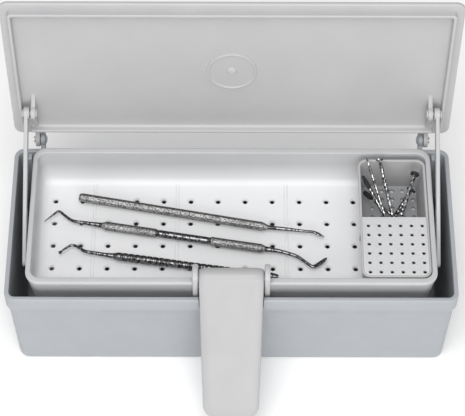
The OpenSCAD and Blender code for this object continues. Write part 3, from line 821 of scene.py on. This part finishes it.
def make_tray():
    tub = loft("tub", tray_rings(), MAT_TRAY)
    nx, ny = DRAIN_GRID
    places = [((i - (nx - 1) / 2) * DRAIN_PITCH[0], DRAIN_Y - j * DRAIN_PITCH[1])
              for i in range(nx) for j in range(ny)]
    cut(tub, hole_cutter(places, DRAIN_R, TRAY_FLOOR - TRAY_THICK, TRAY_FLOOR,
                         DRAIN_FLARE, DRAIN_SINK))
    deep = HUB_R + 0.6
    outline = [(LEVER_Y - 12, LEVER_Z + deep), (LEVER_Y - 12, LEVER_Z - deep),
               (LEVER_Y + 12, LEVER_Z - deep), (LEVER_Y + 12, LEVER_Z + deep)]
    cut(tub, prism("recess", outline, -LUG[0], LUG[0], MAT_TRAY, 0))
    parts = [tub]
    for side in SIDES:
        x0, x1 = sorted((side * LUG[0], side * LUG[1]))
        parts.append(prism("lug", lug_outline(), x0, x1, MAT_TRAY, 0.7))
        boss = revolve("boss", [(CORE, 0), (3.2, 0), (3.2, 1.4), (2.9, 1.8), (CORE, 1.8)], MAT_TRAY)
        lo, hi = box_mm("lift_pin_left" if side < 0 else "lift_pin_right")
        mid = (lo + hi) / 2
        across(boss, side * BOSS_X, mid[1], mid[2], side)
        parts.append(boss)
    reach = TRAY_HY - TRAY_RIM_Y - TRAY_DRAFT[1] - 1.5
    y0, y1 = TRAY_Y - reach, TRAY_Y + reach
    apart, half, rise = FLOOR_RIB
    for x in RIBS_X:
        for off in SIDES:
            c = x + off * apart
            outline = [(y0, TRAY_FLOOR - 0.6), (y0, TRAY_FLOOR + rise),
                       (y1, TRAY_FLOOR + rise), (y1, TRAY_FLOOR - 0.6)]
            parts.append(prism("rib", outline, c - half, c + half, MAT_TRAY, 0.22))
    obj = joined("tray_moulding", parts)
    place(obj, "tray", "tray_plastic", "instrument_tray")


def make_tray_pins():
    for side, word in SIDE_WORDS:
        node = f"lift_pin_{word}"
        lo, hi = box_mm(node)
        length = hi[0] - lo[0]
        mid = (lo + hi) / 2
        pin = revolve(f"stub_{word}", [(CORE, 0), (1.7, 0), (1.7, length - 0.5), (1.45, length - 0.12),
                                       (1.0, length), (CORE, length)], MAT_STEEL)
        across(pin, inner_end(lo, hi, side), mid[1], mid[2], side)
        place(pin, "tray", "steel", node)
    lo, hi = box_mm("lever_pin")
    length = hi[0] - lo[0]
    pin = revolve("lever_axle", [(CORE, 0), (1.2, 0), (PIN_R, 0.3), (PIN_R, length - 0.3), (1.2, length),
                                 (CORE, length)], MAT_STEEL)
    across(pin, lo[0], LEVER_Y, LEVER_Z)
    place(pin, "tray", "steel", "lever_pin")


# ---- lever -----------------------------------------------------------------

LEVER_ANGLE = 50.0
LEVER_LENGTH = 84.8
LEVER_TIP_HALF = 16.05
LEVER_TOP = 5.4
CROWN = ((0.0, 1.9), (0.1, 1.4), (0.4, 0.95), (0.9, 0.62), (1.6, 0.42), (2.6, 0.22), (3.8, 0.07), (5.0, 0.0))
LEVER_END_R = 9.0
SKIRT = 3.5
SKIRT_START = 14.0


def lever_ring(inset, z, pull=0.0, steps=12):
    """Paddle outline at a height over the pivot line, tip towards -y; pull shortens the tip."""
    w0 = LEVER_HALF - inset
    w1 = LEVER_TIP_HALF - inset
    r = max(LEVER_END_R - inset, 1.0)
    y1 = -(LEVER_LENGTH - LEVER_END_R - pull)
    points = [(w0, 0.0)]
    for k in (0.25, 0.5, 0.75):
        points.append((w0 + (w1 - w0) * k, y1 * k))
    points += [(w1 - r + x, y1 + y) for x, y in arc(0, 0, r, 0, -90, steps)]
    mirror = [(-x, y) for x, y in reversed(points)]
    return [(x * MM, y * MM, z * MM) for x, y in points + mirror]


def make_lever():
    path = [(4.2, 3.2, 3), (2.5, 3.2, 2.5), (2.1, 2.8, 2), (2.0, -2.9, 0), (1.75, -3.35, 0), (1.2, -SKIRT, 0),
            (0.7, -SKIRT, 0), (0.2, -3.3, 0), (0.0, -2.9, 0), (0.0, 0.8, 0)]
    path += [(i, LEVER_TOP - drop, 3.5 * (1 - drop / 1.9) ** 1.5) for i, drop in CROWN]
    rings = [lever_ring(*point) for point in path]
    rings.append(lever_ring(7.0, LEVER_TOP, 5.0))
    paddle = loft("paddle", rings, MAT_LEVER)
    notch = [(2, -SKIRT - 1), (-SKIRT_START - 0.3, -SKIRT - 1)]
    notch += arc(-SKIRT_START + 0.9, 2.25, 1.2, 180, 90, 5)
    notch += [(2, 3.45)]
    cut(paddle, prism("notch", notch, -25, 25, MAT_LEVER, 0))
    half = [(BORE_R, -0.2), (3.3, -0.2), (3.4, -0.1), (3.4, 0.0), (LEVER_TOP - 2.2, 0.0)]
    half += [(LEVER_TOP - drop, inset) for inset, drop in CROWN]
    barrel = half + [(r, 2 * LEVER_HALF - h) for r, h in reversed(half)]
    hub = revolve("barrel", barrel, MAT_LEVER, 64)
    across(hub, -LEVER_HALF, 0, 0)
    ribs = []
    for x in (-6.0, 6.0):
        outline = [(-SKIRT_START - 1, 4.0), (-SKIRT_START - 1, 1.6), (-LEVER_LENGTH + 16, 1.6),
                   (-LEVER_LENGTH + 10, 4.0)]
        ribs.append(prism("under_rib", outline, x - 0.7, x + 0.7, MAT_LEVER, 0.3))
    obj = joined("lever_paddle", [paddle, hub] + ribs)
    turn = Matrix.Rotation(math.radians(LEVER_ANGLE), 4, "X")
    moved(obj, Matrix.Translation((0, LEVER_Y * MM, LEVER_Z * MM)) @ turn)
    place(obj, "lever_body", "tray_plastic", "lever")


# ---- basket ----------------------------------------------------------------

basket_lo, basket_hi = box_mm("bur_basket")
plate_lo, plate_hi = box_mm("bur_plate")
BASKET_WALL = 1.6
BASKET_DRAFT = (2.0, 2.6)
BASKET_CORNER = 5.0
BASKET_EDGE = 3.6
PLATE_CORNERS = (0.3, 0.3, 3.9, 3.9)
PLATE_GAP = 0.12
BASKET_PITCH = 6.05
BASKET_HOLES = (95.0, 1.6)
BASKET_HOLE_R = 1.2
PLATE_HOLE_R = 1.0
PLATE_PITCH = 6.15
PLATE_HOLES = (78.2, -6.6)


def half_and_mid(lo, hi):
    """Half sizes and centre of a box in plan."""
    return (hi[0] - lo[0]) / 2, (hi[1] - lo[1]) / 2, (hi[0] + lo[0]) / 2, (hi[1] + lo[1]) / 2


def basket_rings():
    """Outer wall from below, over the rim and down inside to the floor."""
    hx, hy, cx, cy = half_and_mid(basket_lo, basket_hi)
    top, low = basket_hi[2], basket_lo[2]
    path = []
    for x, z in arc(BASKET_EDGE, low + BASKET_EDGE, BASKET_EDGE, 270, 180, 6):
        path.append((BASKET_DRAFT[0] + x, BASKET_DRAFT[1] + x, BASKET_CORNER, z))
    for t in (0.3, 0.7, 0.95):
        z = low + BASKET_EDGE + (top - low - BASKET_EDGE) * t
        path.append((BASKET_DRAFT[0] * (1 - t), BASKET_DRAFT[1] * (1 - t), BASKET_CORNER, z))
    for x, z in arc(0.7, top - 0.7, 0.7, 180, 90, 5):
        path.append((x, x, BASKET_CORNER - x * 0.5, z))
    for x, z in arc(0.5, top - 0.5, 0.5, 90, 0, 4):
        path.append((BASKET_WALL - 1 + x, BASKET_WALL - 1 + x, BASKET_CORNER - 1, z))
    for t in (0.1, 0.5, 0.96):
        z = top - 0.6 - (top - low - BASKET_WALL - 1.4) * t
        path.append((BASKET_WALL + BASKET_DRAFT[0] * t, BASKET_WALL + BASKET_DRAFT[1] * t, 4, z))
    for x, z in arc(-0.7, low + BASKET_WALL + 0.7, 0.7, 0, -90, 4):
        path.append((BASKET_WALL + BASKET_DRAFT[0] - x, BASKET_WALL + BASKET_DRAFT[1] - x, 4, z))
    return [ring_rounded(hx - dx, hy - dy, r, z, cx, cy, 8) for dx, dy, r, z in path]


def plate_rings(rows, x_mid, y_mid, hx, hy):
    """Outlines of the cover plate; rows are (inset, height)."""
    return [ring_rounded(hx - i, hy - i, tuple(r - min(i, 0.25) for r in PLATE_CORNERS), z, x_mid, y_mid, 8)
            for i, z in rows]


def make_basket():
    tub = loft("basket_tub", basket_rings(), MAT_BASKET)
    places = [(BASKET_HOLES[0] + i * BASKET_PITCH, BASKET_HOLES[1] + j * BASKET_PITCH)
              for i in range(-2, 3) for j in range(-5, 6)]
    low = basket_lo[2]
    cut(tub, hole_cutter(places, BASKET_HOLE_R, low, low + BASKET_WALL, 0.15, 0.3, 20))
    z = plate_lo[2]
    hx, hy, cx, cy = half_and_mid(plate_lo - PLATE_GAP, plate_hi + PLATE_GAP)
    seat = loft("seat", plate_rings([(0, z), (0, z + 3)], cx, cy, hx, hy), MAT_BASKET)
    wall_y = plate_hi[1] - 0.9
    outline = [(wall_y - 0.6, low + 0.5), (wall_y - 0.6, z - 0.02), (wall_y + 0.6, z - 0.02),
               (wall_y + 0.6, low + 0.5)]
    cut(tub, seat)
    part = prism("partition", outline, basket_lo[0] + 1.2, basket_hi[0] - 1.2, MAT_BASKET, 0.2)
    obj = joined("basket_moulding", [tub, part])
    place(obj, "basket", "tray_plastic", "bur_basket")

    hx, hy, cx, cy = half_and_mid(plate_lo, plate_hi)
    z1 = plate_hi[2]
    rows = [(0.2, z), (0, z + 0.2), (0, z1 - 0.15), (0.05, z1 - 0.04), (0.15, z1)]
    plate = loft("cover", plate_rings(rows, cx, cy, hx, hy), MAT_PLATE)
    places = [(PLATE_HOLES[0] + i * PLATE_PITCH, PLATE_HOLES[1] - j * PLATE_PITCH)
              for i in range(6) for j in range(6)]
    cut(plate, hole_cutter(places, PLATE_HOLE_R, z, z1, 0.15, 0.2, 20))
    place(plate, "plate", "tray_plastic", "bur_plate")


# ---- burs ------------------------------------------------------------------

def twist(pitch, depth, flutes=2):
    """Radius factor of a twisted, fluted shank."""
    return lambda h, a: 1 + depth * math.cos(flutes * a - 2 * math.pi * h / pitch)


def dense(profile, step=0.35):
    """Adds points along a profile so that a wave can follow it."""
    out = [profile[0]]
    for (r0, h0), (r1, h1) in zip(profile, profile[1:]):
        n = max(1, int(abs(h1 - h0) / step))
        out += [(r0 + (r1 - r0) * k / n, h0 + (h1 - h0) * k / n) for k in range(1, n + 1)]
    return out


def bur_ends(node):
    """Head end (rear) and tail end of a bur's axis, in metres."""
    a, b = axis_ends(node)
    return (a, b) if a[1] > b[1] else (b, a)


def shank_profile(length, r, neck, start):
    return [(neck, start), (neck, start + 1.0), (r * 0.95, start + 2.6), (r, start + 3.4),
            (r, length - 3.2), (r * 0.8, length - 3.0), (r * 0.8, length - 2.4), (r, length - 2.2),
            (r, length - 0.5), (r * 0.7, length)]


def make_bur(name, head, head_mat, r, neck, pitch):
    a, b = bur_ends(name)
    length = span_mm(a, b)
    head_len = head[-1][1]
    shank = revolve("shank", [(CORE, head_len - 0.4)] + dense(shank_profile(length, r, neck, head_len - 0.4))
                    + [(CORE, length)], MAT_SHANK, 24, 50, twist(pitch, 0.085))
    tip = revolve("tip", dense(head, 0.25), head_mat, 28, 50, twist(3.2, 0.09, 6))
    for o in (shank, tip):
        moved(o, frame_along(a, b))
    place(shank, "burs", "steel", name)
    shank.name = name + "_shank"
    tip.name = name + "_head"
    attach(tip, "burs")


def make_mandrel(name, wheel_node, wheel_r):
    a, b = bur_ends(name)
    length = span_mm(a, b)
    profile = [(CORE, 0), (0.9, 0), (1.3, 0.2), (1.3, 0.6), (0.7, 0.62), (0.7, 2.2), (1.15, 2.25)]
    profile += [(1.17, 2.6), (1.17, length - 3.2), (0.95, length - 3.0), (0.95, length - 2.4),
                (1.17, length - 2.2), (1.17, length - 0.4), (0.8, length), (CORE, length)]
    fluted = twist(2.6, 0.07)
    shank = revolve(name + "_shank", dense(profile), MAT_SHANK, 24, 50,
                    lambda h, t: fluted(h, t) if h > 2.7 else 1.0)
    w = wheel_r
    wheel = revolve(wheel_node + "_stone", [(0.72, 0.66), (w - 0.5, 0.66), (w - 0.12, 0.8), (w, 1.1),
                                            (w, 1.75), (w - 0.12, 2.02), (w - 0.5, 2.15), (0.72, 2.15)],
                    MAT_BLACK, 56, 50)
    for o in (shank, wheel):
        moved(o, frame_along(a, b))
    place(shank, "burs", "steel", name)
    place(wheel, "burs", "black_abrasive", wheel_node)


def make_burs():
    make_bur("bur_thin", [(CORE, 0), (0.35, 0.05), (0.55, 0.4), (0.6, 1.0), (0.6, 3.0), (0.5, 4.0)],
             MAT_SHANK, 0.8, 0.5, 2.4)
    make_bur("bur_cone", [(CORE, 0), (1.4, 0), (2.0, 0.25), (2.1, 0.6), (1.7, 1.2), (0.9, 1.6)],
             MAT_SHANK, 1.17, 0.8, 2.8)
    make_bur("bur_fissure", [(CORE, 0), (0.5, 0.1), (0.8, 1.0), (1.15, 4.0), (1.2, 6.5), (0.95, 9.0)],
             MAT_BLACK, 1.1, 0.9, 2.6)
    make_bur("bur_round", [(CORE, 0), (0.7, 0.1), (1.2, 0.9), (1.4, 2.2), (1.4, 5.2), (0.85, 7.0)],
             MAT_BLACK, 1.0, 0.8, 3.0)
    make_mandrel("disc_mandrel", "disc_wheel", 2.6)
    make_mandrel("stone_mandrel", "stone_wheel", 2.8)


# ---- hand instruments ------------------------------------------------------

def knurl(h, a, start, end, depth=0.05, around=18, pitch=1.25):
    """Diamond knurling between two heights, plain elsewhere."""
    if not start < h < end:
        return 1.0
    u = around * a / (2 * math.pi)
    v = h / pitch
    ridge = abs(((u + v) % 1) - 0.5) + abs(((u - v) % 1) - 0.5)
    return 1 - depth * (1 - ridge)


def make_explorer():
    a, b = axis_ends("explorer_handle")
    length = span_mm(a, b)
    r = 2.6
    grip = (0.345 * length, 0.655 * length)
    profile = [(CORE, 0), (1.5, 0), (1.9, 0.5), (2.2, 1.6), (2.3, 2.0), (r, 2.4)]
    profile += [(r, grip[0] - 1.6), (2.3, grip[0] - 1.2), (1.95, grip[0] - 0.2), (2.15, grip[0] + 0.8)]
    profile += [(2.15, grip[1] - 0.8), (1.95, grip[1] + 0.2), (2.3, grip[1] + 1.2), (r, grip[1] + 1.6)]
    profile += [(r, length - 2.4), (2.3, length - 2.0), (2.2, length - 1.6), (1.9, length - 0.5),
                (1.5, length), (CORE, length)]

    def wave(h, t):
        first = knurl(h, t, 3, grip[0] - 2)
        second = knurl(h, t, grip[1] + 2, length - 3)
        return first * second

    obj = revolve("explorer_grip", dense(profile, 0.3), MAT_GRIP, 72, 40, wave)
    obj.data.materials.append(MAT_TIP)
    for face in obj.data.polygons:
        if grip[0] - 1.6 < face.center.z / MM < grip[1] + 1.6:
            face.material_index = 1
    moved(obj, frame_along(a, b))
    place(obj, "explorer", "steel", "explorer_handle")
    left = [(0, 0, 1.6, 1.6), (4, 0, 1.35, 1.35), (9.0, 0.0, 1.1, 1.1), (17.2, -0.2, 0.9, 0.9),
            (22.7, -2.9, 0.8, 0.8), (26.7, -5.3, 0.72, 0.75), (29.4, -2.8, 0.58, 0.6),
            (33.7, 3.0, 0.22, 0.24)]
    right = [(0, 0, 1.6, 1.6), (4, 0, 1.4, 1.4), (9.2, -0.2, 1.15, 1.15), (18.2, -1.7, 1.0, 1.0),
             (23.8, -4.6, 0.9, 0.9), (28.6, -7.1, 0.95, 0.85), (31.4, -5.6, 1.25, 0.6),
             (34.4, -2.2, 1.1, 0.5), (35.9, -0.1, 0.5, 0.35)]
    make_tip("explorer_tip_left", "explorer", a, a - b, left)
    make_tip("explorer_tip_right", "explorer", b, b - a, right)


def make_tip(node, body, origin, direction, points, extra=None):
    """A bent tip: points are (along, aside, half width, half height) from a handle's end."""
    d = np.array(direction, float)
    d[2] = 0
    d /= np.linalg.norm(d)
    side = np.array([-d[1], d[0], 0])
    p = spline(points, 8)
    centres = [np.array(origin) + (q[0] * d + q[1] * side) * MM for q in p]
    obj = tube(node + "_bend", centres, [max(q[2], 0.1) for q in p], [max(q[3], 0.1) for q in p], MAT_TIP)
    if extra:
        obj = joined(node + "_bend", [obj, extra(centres[-1])])
    place(obj, body, "steel", node)


def make_excavator():
    a, b = axis_ends("excavator_handle")
    length = span_mm(a, b)
    r = 2.62
    profile = [(CORE, 0), (1.8, 0), (2.1, 0.25), (2.2, 0.9), (r - 0.1, 1.2), (r, 1.6)]
    profile += [(r, length - 3.6), (r - 0.15, length - 3.2), (2.2, length - 2.2), (1.45, length),
                (CORE, length)]
    rows, around, row_height = 700, 64, 0.3
    eighth = math.pi / 4
    rng = random.Random(4)
    dots = [[rng.random() for _ in range(around)] for _ in range(rows)]

    def wave(h, t):
        if not 1.3 < h < length - 3.4:
            return 1.0
        facet = ((t / eighth) % 1 - 0.5) * eighth
        flat = 0.945 / math.cos(facet)
        i = int(h / row_height) % rows
        k = int(t / (2 * math.pi) * around) % around
        return min(flat, 1.0) - (0.028 if dots[i][k] > 0.62 else 0.0)

    obj = revolve("excavator_grip", dense(profile, row_height), MAT_GRIP, around, 40, wave)
    moved(obj, frame_along(a, b))
    place(obj, "excavator", "steel", "excavator_handle")
    tip = [(-0.5, 0, 1.35, 1.35), (4, 0.2, 1.2, 1.2), (10.7, 0.7, 1.08, 1.08), (18, 1.1, 0.9, 0.9),
           (22.5, 1.4, 0.8, 0.8), (26.5, 1.7, 0.85, 0.75), (29.6, 1.0, 1.0, 0.5), (33.4, -0.5, 0.45, 0.3)]
    make_tip("excavator_tip", "excavator", b, b - a, tip)


def make_probe():
    a, b = axis_ends("probe_handle")
    length = span_mm(a, b)
    profile = [(CORE, 0), (1.4, 0), (1.7, 0.4), (1.9, 1.6)]
    count = 26
    pitch = (length - 5) / count
    for i in range(count):
        h = 2.2 + i * pitch
        swell = 2.2 + 0.3 * math.sin(math.pi * min(1.0, (i + 3) / 14))
        profile += [(swell - 0.28, h), (swell, h + 0.35), (swell, h + pitch - 0.9),
                    (swell - 0.28, h + pitch - 0.55)]
    profile += [(1.9, length - 2), (1.5, length - 0.4), (1.0, length), (CORE, length)]
    obj = revolve("probe_grip", profile, MAT_RINGED, 48, 30)
    moved(obj, frame_along(a, b))
    place(obj, "probe", "steel", "probe_handle")
    tip = [(0, 0, 1.5, 1.5), (4, 0, 1.25, 1.25), (9.2, -0.2, 1.1, 1.1), (16.4, -0.6, 0.95, 0.95),
           (20.5, -2.5, 0.85, 0.85), (24.6, -3.6, 0.75, 0.75), (28.1, -0.9, 0.6, 0.6),
           (30.7, 2.3, 0.48, 0.48)]

    def ball(centre):
        ring = [(0.95 * math.sin(t), -0.95 * math.cos(t)) for t in np.linspace(CORE, math.pi - 0.05, 14)]
        o = revolve("ball", ring, MAT_TIP, 28)
        return moved(o, Matrix.Translation(Vector(centre)))

    make_tip("probe_tip", "probe", a, a - b, tip, ball)


# ---- stage -----------------------------------------------------------------

def make_stage():
    size = 3.0
    floor = add_object("floor", [(-size, -size, 0), (size, -size, 0), (size, size, 0), (-size, size, 0)],
                       [(0, 1, 2, 3)], floor_material())
    world = bpy.data.worlds.new("studio")
    world.use_nodes = True
    world.node_tree.nodes["Background"].inputs["Color"].default_value = (1, 1, 1, 1)
    world.node_tree.nodes["Background"].inputs["Strength"].default_value = 0.56
    bpy.context.scene.world = world
    bpy.context.scene.view_settings.view_transform = "Standard"
    area_light("key", (-0.12, -0.45, 1.35), (0, 0, 0.05), 0.9, 11.8)
    area_light("fill", (0.1, -1.25, 0.55), (0, 0, 0.06), 0.9, 8.0)


def area_light(name, position, target, size, power):
    light = bpy.data.lights.new(name, "AREA")
    light.size = size
    light.energy = power
    obj = bpy.data.objects.new(name, light)
    bpy.context.scene.collection.objects.link(obj)
    obj.location = position
    obj.rotation_euler = (Vector(target) - Vector(position)).to_track_quat("-Z", "Y").to_euler()


def make_camera():
    elevation = math.radians(57.678)
    distance = 1.05086
    roll = math.radians(0.147)
    target = Vector((0, 0, RIM_Z * MM))
    back = Vector((0, -math.cos(elevation), math.sin(elevation)))
    data = bpy.data.cameras.new("camera")
    data.sensor_width = 36.0
    data.lens = 141.06
    data.shift_x = 0.0021
    data.shift_y = 0.0319
    data.clip_start = 0.05
    data.clip_end = 20
    cam = bpy.data.objects.new("camera", data)
    bpy.context.scene.collection.objects.link(cam)
    cam.rotation_mode = "QUATERNION"
    cam.location = target + back * distance
    cam.rotation_quaternion = (-back).to_track_quat("-Z", "Y")
    cam.rotation_quaternion.rotate(Matrix.Rotation(roll, 3, back).to_quaternion())
    bpy.context.scene.camera = cam


make_camera()
make_box()
make_hinge_pins()
make_lid()
make_link_pins()
make_links()
make_tray()
make_tray_pins()
make_lever()
make_basket()
make_burs()
make_explorer()
make_excavator()
make_probe()
make_stage()
